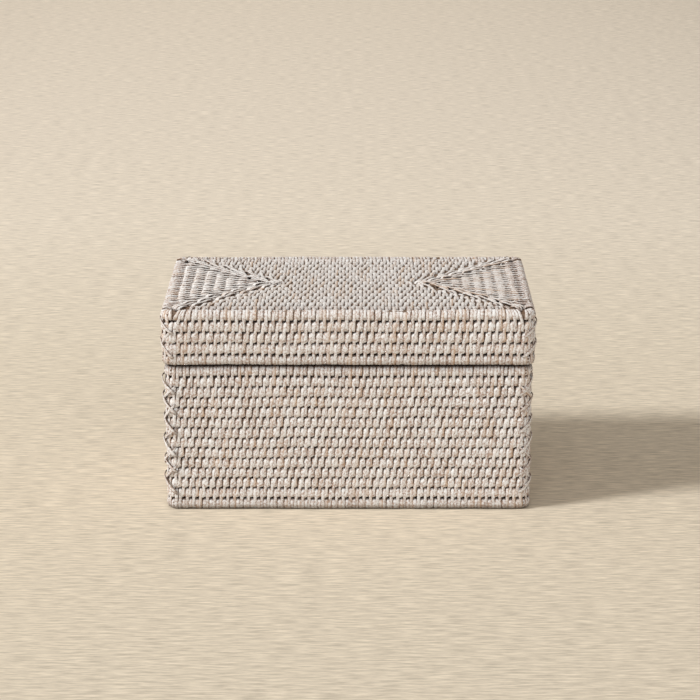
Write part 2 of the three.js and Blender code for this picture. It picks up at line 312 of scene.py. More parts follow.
# The ochre tint of a stained strip grows towards its right-hand side, away from the key light: painted warm
# shade.
SHADED_SIDE_OCHRE = (-0.6, 0.9, 0.15, 1.0)
GRAIN_ACROSS, GRAIN_ALONG, GRAIN_APART = 2.2, 220.0, 97.0
CANE_RELIEF = (0.6, 0.4 * MM, 0.6)

cane, tree, shader = new_material("cane_lacing")
minus, times, size_of = sums(tree, "SUBTRACT", "MULTIPLY", "ABSOLUTE")
across, along, tone, warmth, deep = (
    attribute(tree, name) for name in ("across", "along", "tone", "warmth", "deep")
)
strip_point = (times(across, GRAIN_ACROSS), times(along, GRAIN_ALONG), times(tone, GRAIN_APART))
off_centre = size_of(across)
edge = remap(tree, off_centre, EDGE_STARTS, 1.0, 0.0, EDGE_SHADE_AND_DUST)
shaded_side = remap(tree, across, *SHADED_SIDE_OCHRE)
numbers = {
    "tone": tone,
    "warmth": times(warmth, shaded_side),
    # The crown term paints a highlight along the middle of each strip and leaves its flanks darker.
    "crown": minus(1.0, maths(tree, "POWER", off_centre, 2.0)),
    "deep": maths(tree, "MAXIMUM", deep, edge),
}
colours = {"bare": CANE_BARE, "wash": CANE_WASH, "ochre": CANE_OCHRE, "shade_and_grime": CANE_SHADE_AND_GRIME}
limewash(tree, shader, grained(tree, vector_of(tree, *strip_point)), CANE_RELIEF, **colours, **numbers)
print("material", cane.name)

# %% Rattan rod material
ROD_BARE = srgb(150, 122, 102)
ROD_WASH = srgb(196, 178, 164)
ROD_OCHRE = srgb(170, 126, 84)
# The rods show only in the gaps between strips, so they take the dark colour all over: painted shade in the
# gaps, with blotches of grime.
ROD_SHADE_AND_GRIME = srgb(52, 38, 29)
ROD_GRAIN = (60.0, 60.0, 900.0)
ROD_FINENESS = 1.3
LEAST_ROD_SHADE, BLOTCH_DIRT = 0.4, 0.4
PLAIN_RELIEF = (0.3, 0.5 * MM, 0.3)

rattan, tree, shader = new_material("rattan_rod")
place = node(tree, "ShaderNodeTexCoord").outputs["Object"]
grain = grained(tree, vector_maths(tree, "MULTIPLY", place, ROD_GRAIN), ROD_FINENESS)
rod_shade_and_grime = maths(tree, "MULTIPLY_ADD", grain["Blotches"], BLOTCH_DIRT, LEAST_ROD_SHADE)
colours = {"bare": ROD_BARE, "wash": ROD_WASH, "ochre": ROD_OCHRE, "shade_and_grime": ROD_SHADE_AND_GRIME}
limewash(tree, shader, grain, PLAIN_RELIEF, **colours, tone=0.35, warmth=0.25, crown=0.4, deep=rod_shade_and_grime)
print("material", rattan.name)

# %% Collar material
COLLAR_BARE = srgb(196, 172, 150)
COLLAR_WASH = srgb(228, 219, 208)
COLLAR_GRAIN = (90.0, 90.0, 1100.0)

collar, tree, shader = new_material("collar_finish")
place = node(tree, "ShaderNodeTexCoord").outputs["Object"]
grain = grained(tree, vector_maths(tree, "MULTIPLY", place, COLLAR_GRAIN))
limewash(tree, shader, grain, PLAIN_RELIEF, bare=COLLAR_BARE, wash=COLLAR_WASH, tone=0.8, crown=0.6)
print("material", collar.name)

# %% [markdown]
# ## One strip of cane
#
# A strip is a flat, slightly crowned band that follows a path over the rods. It is pinched where it
# crosses from one rod to the next between two slots, and broad over the rods, which gives the
# dumb-bell look in the photograph. A curve with a bevel would do it, but the strip is repeated
# thousands of times, so it is swept here from six points per step, and stays under a hundred faces.

# %% Strip sweep
STRIP_THICKNESS = 1.0 * MM
SECTION = ((-0.52, -0.5), (0.52, -0.5), (0.5, 0.22), (0.22, 0.45), (-0.22, 0.45), (-0.5, 0.22))
EDGE_POINTS = (2, 5)
# The least depth mark on the underside of every strip: painted shade on its sides, between it and its
# neighbours.
SIDE_SHADE = 0.4


def strip_mesh(name, points, normals, widths, deeps, thickness=STRIP_THICKNESS, side_shade=SIDE_SHADE):
    """A closed band along points. Each point has its outward direction, width and depth mark."""
    points = np.array(points, float)
    ahead = np.gradient(points, axis=0)
    ahead /= np.linalg.norm(ahead, axis=1, keepdims=True)
    across = np.cross(ahead, np.array(normals, float))
    across /= np.linalg.norm(across, axis=1, keepdims=True)
    outward = np.cross(across, ahead)
    steps = np.concatenate([[0], np.cumsum(np.linalg.norm(np.diff(points, axis=0), axis=1))])
    a, o = np.array(SECTION).T
    sides = across[:, None] * np.outer(widths, a)[:, :, None]
    vertices = points[:, None] + sides + outward[:, None] * (o * thickness)[:, None]
    deeps = np.array(deeps, float)[:, None]
    values_of = {
        "along": np.repeat(steps, len(SECTION)),
        "across": np.tile(a * 2, len(points)),
        # Underside points are marked at least as deep as the side share: painted shade.
        "deep": np.where(o > 0, deeps, np.maximum(deeps, side_shade)).ravel(),
    }
    around = len(SECTION)
    index = np.arange(len(points) * around).reshape(-1, around)
    turned = np.roll(index, -1, axis=1)
    faces = np.stack([index[:-1], index[1:], turned[1:], turned[:-1]], axis=-1).reshape(-1, 4).tolist()
    faces += [index[0].tolist(), index[-1, ::-1].tolist()]
    mesh = bpy.data.meshes.new(name)
    mesh.from_pydata(vertices.reshape(-1, 3).tolist(), [], faces)
    for edge in mesh.edges:
        first, second = (v % around for v in edge.vertices)
        edge.use_edge_sharp = first == second and first in EDGE_POINTS
    for label, values in values_of.items():
        mesh.attributes.new(label, "FLOAT", "POINT").data.foreach_set("value", values)
    mesh.update()
    return bpy.data.objects.new(name, mesh)


# %% [markdown]
# ## Paths over the rods
#
# In the plane across a wall, a rod is a circle. The path rises out of the gap below a rod, bends
# over it, dips a little between the two, bends over the next one and dives again. A strip at
# the rim or under the foot goes on round its rod to the other face of the wall. Widths are shares
# of the pitch between two strips, so a width over 1 laps under its neighbours.


# %% Path builder
END_WIDTH = 1.08
LOWER_WIDTH = 1.8
UPPER_WIDTH = 1.24
ROD_WIDTH = 1.22
WAIST_WIDTH = 0.86
RIM_WIDTH = 1.04
WAIST_DIP = 0.5 * MM
UPPER_RISE = 0.04 * MM
SWERVE = 0.65 * MM
SLANT = 0.4
SQUARENESS = 0.66
TURN_SHARE = 0.78
INSIDE_SHARE = 0.55
SINGLE_ARC = 54
DIVE_START = -18
DIVE_END = 198
USUAL = {
    "dip": WAIST_DIP,
    "waist": WAIST_WIDTH,
    "swerve": SWERVE,
    "rise": UPPER_RISE,
    "lower_width": LOWER_WIDTH,
    "low_dirt": 0.0,
}


def over(centre, ride, half, start, stop, widths, deeps):
    """Steps on a flattened arc over a rod, from start to stop degrees, 0 below and 90 outermost.
    A step is a level, how far out it lies, the strip's width there and its depth mark."""
    made = []
    for angle, width, deep in zip(np.radians(np.linspace(start, stop, len(widths))), widths, deeps):
        level = math.copysign(abs(math.cos(angle)) ** SQUARENESS, math.cos(angle))
        outward = math.copysign(abs(math.sin(angle)) ** SQUARENESS, math.sin(angle))
        made.append((centre - half * level, ride * outward, width, deep))
    return made


def band(name, steps, pitch, swerve=0.0, slant=0.0):
    """Turns steps into a strip, with its outward side worked out from the path. Swerve takes its
    lower half to the left and its upper half to the right. Slant lifts its right edge, which tilts
    the slots at its ends."""
    steps = np.array(steps, float)
    slope = np.gradient(steps[:, :2], axis=0)
    slope /= np.linalg.norm(slope, axis=1, keepdims=True)
    sideways = -swerve * np.sin(np.linspace(0, 2 * math.pi, len(steps)))
    points = np.column_stack([sideways, steps[:, :2]])
    normals = [(0.0, -z, y) for y, z in slope]
    made = strip_mesh(name, points, normals, steps[:, 2] * pitch, steps[:, 3])
    made.data.transform(Matrix(((1, 0, 0, 0), (slant, 1, 0, 0), (0, 0, 1, 0), (0, 0, 0, 1))))
    return made


def one_rod(name, centre, ride, half, pitch):
    """A strip over a single rod, diving on both sides."""
    widths = (0.8, 1.1, 1.2, 1.1, 1.2, 1.1, 0.8)
    # The depth marks rise to 1 where the strip dives into the slots: painted shade.
    steps = over(centre, ride, half, DIVE_START, DIVE_END, widths, (1, 0.6, 0.1, 0, 0.1, 0.6, 1))
    return band(name, steps, pitch, slant=SLANT)


def two_rods(name, spacing, ride, half, pitch, **shape):
    """The usual strip: over two rods, with a pinched waist between them. Its upper half lies a
    little further out, because it presses the lower half of its neighbours against the rod."""
    shape = {**USUAL, **shape}
    # The lower half takes a depth mark of its own, and both ends dive to 1: painted shade under the
    # neighbours' upper halves and in the slots.
    broad, shade_and_grime = shape["lower_width"], shape["low_dirt"]
    widths = (0.75, 1.2, broad, broad, ROD_WIDTH * 1.05)
    steps = over(0.0, ride, half, DIVE_START, 90, widths, (1, 0.35 + shade_and_grime / 2, shade_and_grime, shade_and_grime, shade_and_grime))
    steps.append((spacing / 2, ride - shape["dip"], shape["waist"], 0.05))
    widths = (UPPER_WIDTH * 0.92, UPPER_WIDTH, UPPER_WIDTH, UPPER_WIDTH * 0.86, 0.65)
    steps += over(spacing, ride + shape["rise"], half, 90, DIVE_END, widths, (0, 0, 0, 0.35, 1))
    return band(name, steps, pitch, shape["swerve"], SLANT)


def wrap_down(name, first, foot, ride, half, pitch, pair, turn_shade):
    """A strip that comes from inside, goes under the lowest rod, up its face and over one or two
    rods. Foot gives the lowest rod's place from the first one, its ride and its half."""
    place, out, reach = foot
    level = first + place
    turned = out * TURN_SHARE
    # The depth marks paint the strip dark inside and under the lowest rod, and its lower front by the turn's
    # share: painted shade under the foot and at the seam below the lid, with some grime at the foot.
    steps = [
        (level + reach * 0.9, -out * INSIDE_SHARE, 0.8, 1.0),
        (level, -out, 1.0, 0.3),
        (level - turned, -turned, 1.0, 0.5),
        (level - out, 0.0, 1.0, 0.9),
        (level - turned, turned, 1.06, turn_shade),
        (level, out, ROD_WIDTH, turn_shade * 0.25),
    ]
    if pair:
        steps.append(((level + first) / 2, min(ride, out) - WAIST_DIP, WAIST_WIDTH, 0.1))
        widths = (ROD_WIDTH, END_WIDTH, END_WIDTH, 1.05, 0.7)
        steps += over(first, ride + UPPER_RISE, half, 90, DIVE_END, widths, (0, 0, 0.12, 0.7, 1))
    else:
        steps += over(level, out, reach, 180 - SINGLE_ARC, DIVE_END, (END_WIDTH, 1.05, 0.7), (0.12, 0.7, 1))
    return band(name, steps, pitch)


def wrap_up(name, last, rim, ride, half, pitch, pair, finish):
    """A strip that climbs the face of the rim or edge rod. Finish gives the rest of its steps,
    with their levels from that rod."""
    place, out, reach = rim
    level = last + place
    turned = out * TURN_SHARE
    if pair:
        widths = (0.7, 1.05, END_WIDTH, END_WIDTH, ROD_WIDTH)
        steps = over(last, ride, half, DIVE_START, 90, widths, (1, 0.7, 0.12, 0, 0))
        steps.append(((level + last) / 2, min(ride, out) - WAIST_DIP, WAIST_WIDTH, 0.1))
    else:
        steps = over(level, out, reach, DIVE_START, SINGLE_ARC, (0.7, 1.05, END_WIDTH), (1, 0.7, 0.12))
    steps.append((level, out, RIM_WIDTH, 0.0))
    # The rod's upper front takes part of the first finish step's depth mark: for the rim, painted shade at
    # the seam under the lid.
    steps.append((level + turned, turned, RIM_WIDTH * 0.9, finish[0][3] * 0.55))
    steps += [(level + up, *rest) for up, *rest in finish]
    return band(name, steps, pitch)


# %% [markdown]
# ## Sets of strips
#
# A panel needs nine strips: three versions of the usual one, so that the weave doesn't look
# stamped, two single ones for where a mitre cuts a pair short, and four for the ends of its
# columns. The lid's walls need a tenth, because their strips end in two ways at the top. A set goes
# into a collection that isn't in the scene. A tree picks from it by number, in the order of names:
# 0 to 2 are the usual strips, 3 and 4 the single ones, 5 and 6 the lower ends, 7 to 9 the upper ones.

# %% Strip sets
VARIANTS = ({}, {"dip": 0.6, "waist": 1.1, "swerve": 1.4}, {"dip": 1.5, "waist": 0.9, "swerve": 0.6})
RIDE_SHARES = (1.0, 1.0, 1.02)
FLAT_SLOT = 0.4 * MM
FLAT_RISE = 0.3 * MM
FLAT_LOWER_WIDTH = 0.98


def strip_set(name, strips):
    made = bpy.data.collections.new(name)
    for item in strips:
        made.objects.link(item)
    return made


def usual_strips(tag, spacing, ride, half, pitch, **shape):
    usual = {**USUAL, **shape}
    made = []
    for i, (shares, ride_share) in enumerate(zip(VARIANTS, RIDE_SHARES)):
        varied = {key: value * shares.get(key, 1.0) for key, value in usual.items()}
        made.append(two_rods(f"{tag}_{i}", spacing, ride * ride_share, half, pitch, **varied))
    made.append(one_rod(f"{tag}_3", 0.0, ride, half, pitch))
    made.append(one_rod(f"{tag}_4", spacing, ride, half, pitch))
    return made


def flat_set(tag, spacing, radius, pitch, slot=FLAT_SLOT, **shape):
    """Strips for a panel whose columns end in plain strips."""
    ride = radius + STRIP_THICKNESS / 2
    half = spacing / 2 - slot - STRIP_THICKNESS / 2
    shape = {"rise": FLAT_RISE, "lower_width": FLAT_LOWER_WIDTH, **shape}
    ends = [
        one_rod(f"{tag}_5", spacing, ride, half, pitch),
        two_rods(f"{tag}_6", spacing, ride, half, pitch, **shape),
        two_rods(f"{tag}_7", spacing, ride, half, pitch, **shape),
        one_rod(f"{tag}_8", 0, ride, half, pitch),
    ]
    return strip_set(tag, usual_strips(tag, spacing, ride, half, pitch, **shape) + ends)


def wall_set(tag, spacing, ride, half, pitch, foot, rim, turn_shade, finishes):
    """Strips for the outside of a wall."""
    strips = usual_strips(tag, spacing, ride, half, pitch)
    for i, first in ((5, spacing * 2), (6, spacing)):
        strips.append(wrap_down(f"{tag}_{i}", first, foot, ride, half, pitch, i == 6, turn_shade))
    for i, finish in enumerate(finishes):
        last = -spacing if i else 0.0
        strips.append(wrap_up(f"{tag}_{7 + i}", last, rim, ride, half, pitch, i == 0, finish))
    return strip_set(tag, strips)


# %% [markdown]
# ## Parts that two trees share
#
# Both Geometry Nodes trees of this script put strips on points, give each strip its own numbers,
# shake the cane a little and set the material. Written once as functions, these steps stay alike.


# %% Shared steps of the trees
SHARED_INPUTS = {
    "Geometry": "Geometry",
    "Strips": "Collection",
    "Finish": "Material",
    "Wobble": 0.0,
    "Seed": 0,
}
TREE_OUTPUTS = {"Geometry": "Geometry"}


def row_and_column(tree, columns):
    """Splits each point's number into the row and the column that it stands for."""
    index = node(tree, "GeometryNodeInputIndex").outputs[0]
    middle = maths(tree, "ADD", index, 0.5)
    row = maths(tree, "FLOOR", maths(tree, "DIVIDE", middle, columns))
    return row, maths(tree, "SUBTRACT", index, maths(tree, "MULTIPLY", row, columns))


def chance(tree, seed, low, high, offset, kind="FLOAT"):
    """A random number for each point, from a fixed seed."""
    low_socket, high_socket, output = {"FLOAT": (2, 3, 1), "INT": (4, 5, 2)}[kind]
    values = {low_socket: low, high_socket: high, "Seed": maths(tree, "ADD", seed, offset)}
    return node(tree, "FunctionNodeRandomValue", values, data_type=kind).outputs[output]


def strips_at(tree, given, count, position, wanted, choice, **placing):
    """Points, with a chosen strip of the collection on each wanted one."""
    points = node(tree, "GeometryNodePoints", {"Count": count, "Position": position}).outputs[0]
    values = {"Collection": given["Strips"], "Separate Children": True, "Reset Children": True}
    strips = node(tree, "GeometryNodeCollectionInfo", values).outputs[0]
    values = {"Points": points, "Selection": wanted, "Instance": strips, **placing}
    values |= {"Pick Instance": True, "Instance Index": choice}
    return node(tree, "GeometryNodeInstanceOnPoints", values).outputs[0]


def made_real(tree, flow, tone, warmth):
    """Stores each strip's own numbers for its material, and turns the strips into one mesh."""
    for label, value in (("tone", tone), ("warmth", warmth)):
        values = {"Geometry": flow, "Name": label, "Value": value}
        kind = "GeometryNodeStoreNamedAttribute"
        flow = node(tree, kind, values, data_type="FLOAT", domain="INSTANCE").outputs[0]
    return node(tree, "GeometryNodeRealizeInstances", {"Geometry": flow}).outputs[0]


def moved(tree, flow, offset):
    return node(tree, "GeometryNodeSetPosition", {"Geometry": flow, "Offset": offset}).outputs[0]


def seeded_place(tree, given):
    """A point's place, moved along by the seed, so that each piece has a noise of its own."""
    place = node(tree, "GeometryNodeInputPosition").outputs[0]
    return vector_maths(tree, "ADD", place, vector_of(tree, given["Seed"]))


def shaken(tree, given, flow, scale, detail):
    shake = noise(tree, seeded_place(tree, given), scale, detail)["Color"]
    shake = vector_maths(tree, "SUBTRACT", shake, (0.5, 0.5, 0.5))
    return moved(tree, flow, vector_maths(tree, "SCALE", shake, given["Wobble"]))


def finished(tree, given, ending, flow):
    flow = node(tree, "GeometryNodeSetShadeSmooth", {"Geometry": flow}).outputs[0]
    flow = node(tree, "GeometryNodeSetMaterial", {"Geometry": flow, "Material": given["Finish"]}).outputs[0]
    put(tree, ending.inputs["Geometry"], flow)
    print("tree", tree.name, len(tree.nodes), "nodes")


# %% [markdown]
# ## The laced panel tree
#
# One Geometry Nodes tree makes every panel, whether a wall, the top or the floor. It counts points
# by column and by pair of rods, moves every second column one rod down, drops the points beyond a
# straight or a mitred edge, and puts a strip on each. Doing this in mesh code would work too, but
# a tree can be opened and tried out by hand, and one change of it reaches every panel at the next run.

# %% Laced panel tree, its points
PANEL_ZEROS = ("First Rod", "Slope", "Open Start", "Open End", "Lean", "Lean Spread", "Fan")
PANEL_ZEROS += ("Tone Lift", "Warmth Lift", "Edge Turn", "Pull", "Sway")
panel_inputs = {
    **SHARED_INPUTS,
    **dict.fromkeys(PANEL_ZEROS, 0.0),
    "Columns": 10,
    "Rods": 4,
    "Shift": 0,
    "Pitch": 3.0 * MM,
    "Spacing": 9.5 * MM,
    "Limit": 1.0,
    "Long Limit": 1.0,
    "Edge Reach": 10.0 * MM,
    "Pull Above": 1.0,
    "Pull Reach": 26.0 * MM,
    "Half Length": 1.0,
}
panel_tree, panel_in, panel_out = new_tree("laced panel", "GeometryNodeTree", panel_inputs, TREE_OUTPUTS)
t, given = panel_tree, panel_in.outputs
plus, minus, times, times_plus, size_of = sums(t, "ADD", "SUBTRACT", "MULTIPLY", "MULTIPLY_ADD", "ABSOLUTE")
dice = partial(chance, t, given["Seed"])

pairs = maths(t, "FLOOR", times_plus(given["Rods"], 0.5, 1.0))
row, column = row_and_column(t, given["Columns"])
parity = maths(t, "FLOORED_MODULO", plus(column, given["Shift"]), 2.0)
lowest = minus(times(row, 2.0), parity)
middle = times(minus(given["Columns"], 1.0), 0.5)
x = times(minus(column, middle), given["Pitch"])
y = times_plus(minus(lowest, 1.0), given["Spacing"], given["First Rod"])
y_next = plus(y, given["Spacing"])
reach, reach_next = (times_plus(size_of(level), given["Slope"], given["Limit"]) for level in (y, y_next))
has_lower, has_upper = (maths(t, "LESS_THAN", size_of(x), edge) for edge in (reach, reach_next))
is_under, is_first, is_last_pair, is_last = (
    maths(t, "COMPARE", lowest, number, 0.1)
    for number in (-1.0, 0.0, minus(given["Rods"], 2.0), minus(given["Rods"], 1.0))
)
inside = maths(t, "LESS_THAN", lowest, minus(given["Rods"], 0.5))
lower_ok = times(has_lower, minus(1.0, is_under))
upper_ok = times(has_upper, minus(1.0, is_last))
open_here = times_plus(is_last, given["Open End"], times(is_under, given["Open Start"]))
wanted = times(times(inside, maths(t, "MAXIMUM", lower_ok, upper_ok)), minus(1.0, open_here))

# %% Laced panel tree, its choice of strips
choice = dice(0, 2, 1, "INT")
for test, number in ((is_under, 5.0), (is_first, 6.0), (is_last_pair, 7.0), (is_last, 8.0)):
    choice = times_plus(minus(number, choice), test, choice)
choice = plus(choice, times(is_last, maths(t, "GREATER_THAN", size_of(x), given["Long Limit"])))
only_lower = times(has_lower, minus(1.0, has_upper))
only_upper = times(has_upper, minus(1.0, has_lower))
for test, number in ((only_lower, 3.0), (only_upper, 4.0)):
    choice = times_plus(minus(number, choice), test, choice)

# %% Laced panel tree, its strips
COLUMN_JITTER = 0.15 * MM
LEVEL_JITTER = 0.2 * MM
SCALE_SPREADS = (0.1, 0.015, 0.03)
WARM_POWER = 5.0
DRIFT_SCALE = 22.0
SHAKE_SCALE = 90.0
SWAY_SCALE = 14.0
PULL_START = 5.2 * MM

place = node(t, "GeometryNodeInputPosition").outputs[0]
drift = times(minus(noise(t, place, DRIFT_SCALE, 1.0)["Fac"], 0.5), 2.0)
lean = times_plus(plus(dice(-1.0, 1.0, 2), drift), given["Lean Spread"], given["Lean"])
lean = times_plus(minus(column, middle), given["Fan"], lean)
to_edge = minus(maths(t, "MINIMUM", reach, reach_next), size_of(x))
near_edge = remap(t, to_edge, 0.0, given["Edge Reach"], given["Edge Turn"], 0.0)
quadrant = times(maths(t, "SIGN", x), maths(t, "SIGN", plus(y, y_next)))
lean = times_plus(near_edge, quadrant, lean)
turn = node(t, "FunctionNodeEulerToRotation", {0: vector_of(t, z=times(lean, -1.0))}).outputs[0]
shift_x, shift_y = dice(-COLUMN_JITTER, COLUMN_JITTER, 8), dice(-LEVEL_JITTER, LEVEL_JITTER, 9)
position = vector_of(t, plus(x, shift_x), plus(y, shift_y))
scale = vector_of(t, *(dice(1.0 - spread, 1.0 + spread, 3 + i) for i, spread in enumerate(SCALE_SPREADS)))
flow = strips_at(
    t, given, times(given["Columns"], pairs), position, wanted, choice, Rotation=turn, Scale=scale
)
tone = plus(dice(0.0, 1.0, 6), given["Tone Lift"])
warmth = plus(maths(t, "POWER", dice(0.0, 1.0, 7), WARM_POWER), given["Warmth Lift"])
flow = shaken(t, given, made_real(t, flow, tone, warmth), SHAKE_SCALE, 2.0)

sway = times(minus(noise(t, seeded_place(t, given), SWAY_SCALE, 1.0)["Fac"], 0.5), given["Sway"])
at = node(t, "ShaderNodeSeparateXYZ", {0: place}).outputs
pull_from = minus(given["Half Length"], given["Pull Reach"])
nearness = remap(t, size_of(at[0]), pull_from, given["Half Length"], 0.0, given["Pull"])
climbed = maths(t, "MAXIMUM", minus(at[1], given["Pull Above"]), 0.0)
inward = maths(t, "MAXIMUM", minus(PULL_START, at[2]), 0.0)
inward = times(inward, maths(t, "GREATER_THAN", climbed, 0.0))
pull = times(times(nearness, plus(climbed, inward)), maths(t, "SIGN", at[0]))
flow = moved(t, flow, vector_of(t, times(pull, -1.0), sway, 0.0))
finished(t, given, panel_out, flow)

# %% [markdown]
# ## Baking a tree into a mesh
#
# The tree runs on an empty object. Its inputs are set by the sockets' identifiers, the result is
# copied into a plain mesh, and the mesh is moved into place, so that the finished piece sits at the
# origin like a CAD node. What reaches below the table is pressed flat, as the box's weight does.

# %% Bake helper
TABLE_GAP = 0.05 * MM


def facing(origin, up, out):
    """The matrix that puts local Y along up and local Z along out, with its origin at origin."""
    up, out = Vector(up), Vector(out)
    made = Matrix((up.cross(out), up, out)).transposed().to_4x4()
    made.translation = Vector(origin)
    return made


def baked(tree, matrix, **values):
    """Runs a tree and returns its mesh, moved by matrix. Its input First Rod is called first_rod here."""
    carrier = bpy.data.objects.new("carrier", bpy.data.meshes.new("carrier"))
    bpy.context.scene.collection.objects.link(carrier)
    modifier = carrier.modifiers.new("nodes", "NODES")
    modifier.node_group = tree
    sockets = [item for item in tree.interface.items_tree if item.item_type == "SOCKET"]
    identifiers = {item.name: item.identifier for item in sockets if item.in_out == "INPUT"}
    for name, value in values.items():
        modifier[identifiers[name.replace("_", " ").title()]] = value
    graph = bpy.context.evaluated_depsgraph_get()
    mesh = bpy.data.meshes.new_from_object(carrier.evaluated_get(graph), depsgraph=graph)
    bpy.data.objects.remove(carrier)
    mesh.transform(matrix)
    return mesh


def places_of(mesh):
    places = np.empty(len(mesh.vertices) * 3)
    mesh.vertices.foreach_get("co", places)
    return places


def piece(name, meshes, body, *stands_for):
    """Joins meshes into one piece at the origin, and tells the frame what it rides on."""
    joined = [bpy.data.objects.new(name if i == 0 else f"{name}_{i}", mesh) for i, mesh in enumerate(meshes)]
    for item in joined:
        bpy.context.scene.collection.objects.link(item)
    if len(joined) > 1:
        with bpy.context.temp_override(active_object=joined[0], selected_editable_objects=joined):
            bpy.ops.object.join()
    made = joined[0]
    made.data.name = name
    places = places_of(made.data)
    places[2::3] = np.maximum(places[2::3], TABLE_GAP)
    made.data.vertices.foreach_set("co", places)
    made.data.update()
    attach(made, body)
    if stands_for:
        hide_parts(*stands_for)
    print(name, len(made.data.polygons), "faces")


# %% [markdown]
# ## The base walls
#
# The strips lean a little to the right as they climb, which shows in the photograph on every row.
# Outside, the columns end in strips that wrap the rim and the foot. Inside, they end in plain ones.

# %% Base wall strips
BASE_PITCH = 3.06 * MM
SLOT_HALF = 0.17 * MM
# How dark the foot rod's lower front is painted: painted shade where the box meets the table, with some
# grime.
FOOT_SHADE_AND_GRIME = 0.6
END_HALF_SHARE = 0.86

base_spacing = base_rods[2]["z"] - base_rods[1]["z"]
base_half = base_spacing / 2 - SLOT_HALF - STRIP_THICKNESS / 2
base_ride = base_rods[1]["r"] + STRIP_THICKNESS / 2
foot_ride = base_rods[0]["r"] + STRIP_THICKNESS / 2
rim_ride = base_rods[-1]["r"] + STRIP_THICKNESS / 2
base_foot = (base_rods[0]["z"] - base_rods[1]["z"], foot_ride, foot_ride * END_HALF_SHARE)
base_rim = (base_rods[-1]["z"] - base_rods[-2]["z"], rim_ride, rim_ride * END_HALF_SHARE)
# The rim's top is marked fully deep and its inner face half: painted shade where the lid sits on it, which
# stays dark when the lid is lifted.
rim_finish = [
    (rim_ride, 0.0, 1.0, 1.0),
    (rim_ride * TURN_SHARE, -rim_ride * TURN_SHARE, 1.0, 0.15),
    (0.0, -rim_ride, 1.0, 0.5),
    (-rim_ride * END_HALF_SHARE, -rim_ride * INSIDE_SHARE, 0.8, 1.0),
]
base_wall = ("base_wall", base_spacing, base_ride, base_half, BASE_PITCH, base_foot, base_rim, FOOT_SHADE_AND_GRIME)
base_strips = wall_set(*base_wall, (rim_finish, rim_finish))
base_inner_strips = flat_set("base_inner", base_spacing, base_rods[1]["r"], BASE_PITCH)

# %% Base walls
WALLS = {
    "front": ((0, -1, 0), "half_y", "half_x"),
    "back": ((0, 1, 0), "half_y", "half_x"),
    "left": ((-1, 0, 0), "half_x", "half_y"),
    "right": ((1, 0, 0), "half_x", "half_y"),
}
UP, DOWN = (0, 0, 1), (0, 0, -1)
SEEDS = {"base": 100, "lid": 200, "lid_top": 300, "lid_under": 320, "floor_top": 340, "floor_under": 360}
SEEDS |= {"base_corner": 400, "lid_corner": 420}
INNER_SEED = 10
CORNER_BEND = 5.3 * MM
WALL_MARGIN = 0.3 * MM
LEAN = math.radians(2.5)
LEAN_SPREAD = math.radians(2.2)
WOBBLE = 1.0 * MM
SWAY = 2.4 * MM
SHAKEN_CANE = {"wobble": WOBBLE, "sway": SWAY, "finish": cane}
LEANING = {"lean": LEAN, "lean_spread": LEAN_SPREAD}


def wall_columns(rod_list, length, pitch):
    """How many columns fill a wall between its corners, and their exact pitch."""
    width = (rod_list[1][length] - CORNER_BEND - WALL_MARGIN) * 2
    columns = int(width / pitch)
    return columns, width / columns


def wall(body, rod_list, outer_set, inner_set, pitch, spacing, long_limits=None, pull=0.0):
    """The outer and inner lacing of the four walls of the base or the lid."""
    for number, (side, (out, across, length)) in enumerate(WALLS.items()):
        away = Vector(out) * rod_list[1][across]
        columns, exact = wall_columns(rod_list, length, pitch)
        values = {"columns": columns, "pitch": exact, "spacing": spacing, **LEANING, **SHAKEN_CANE}
        values["long_limit"] = long_limits[length] if long_limits else 1.0
        outer = baked(
            panel_tree,
            facing(away, UP, out),
            **values,
            strips=outer_set,
            rods=len(rod_list),
            first_rod=rod_list[1]["z"],
            pull=pull,
            pull_above=rod_list[-1]["z"] - spacing / 2,
            half_length=rod_list[1][length],
            seed=SEEDS[body] + number,
        )
        inner = baked(
            panel_tree,
            facing(away, UP, -Vector(out)),
            **values,
            strips=inner_set,
            rods=len(rod_list) - 2,
            first_rod=rod_list[1]["z"] + spacing,
            seed=SEEDS[body] + number + INNER_SEED,
        )
        piece(f"{body}_{side}_weave", [outer], body, f"{body}_{side}_lacing")
        piece(f"{body}_{side}_weave_inside", [inner], body)


wall("base", base_rods, base_strips, base_inner_strips, BASE_PITCH, base_spacing)

# %% [markdown]
# ## The lid walls
#
# The lid's rods are a little thicker and further apart. Its upper strips climb over the edge rod and
# dive into the top, and the lower ones wrap its bottom rod. Near the corners the strips on the top
# are drawn in towards the mitre.

# %% Lid wall strips
LID_PITCH = 3.2 * MM
# How dark the lid's bottom rod is painted on its lower front: painted shade at the seam over the base.
LID_SEAM_SHADE = 0.3

lid_spacing = lid_rods[1]["z"] - lid_rods[0]["z"]
lid_half = lid_spacing / 2 - SLOT_HALF - STRIP_THICKNESS / 2
lid_ride = lid_rods[0]["r"] + STRIP_THICKNESS / 2
lid_end_half = lid_ride * END_HALF_SHARE
edge_to_ring = lid_rods[-1]["half_y"] - top_rings[0]["half_y"]
ring_spacing = top_rings[0]["half_y"] - top_rings[1]["half_y"]
edge_side = edge_to_ring / 2 - SLOT_HALF - STRIP_THICKNESS / 2
ring_side = ring_spacing / 2 - SLOT_HALF - STRIP_THICKNESS / 2
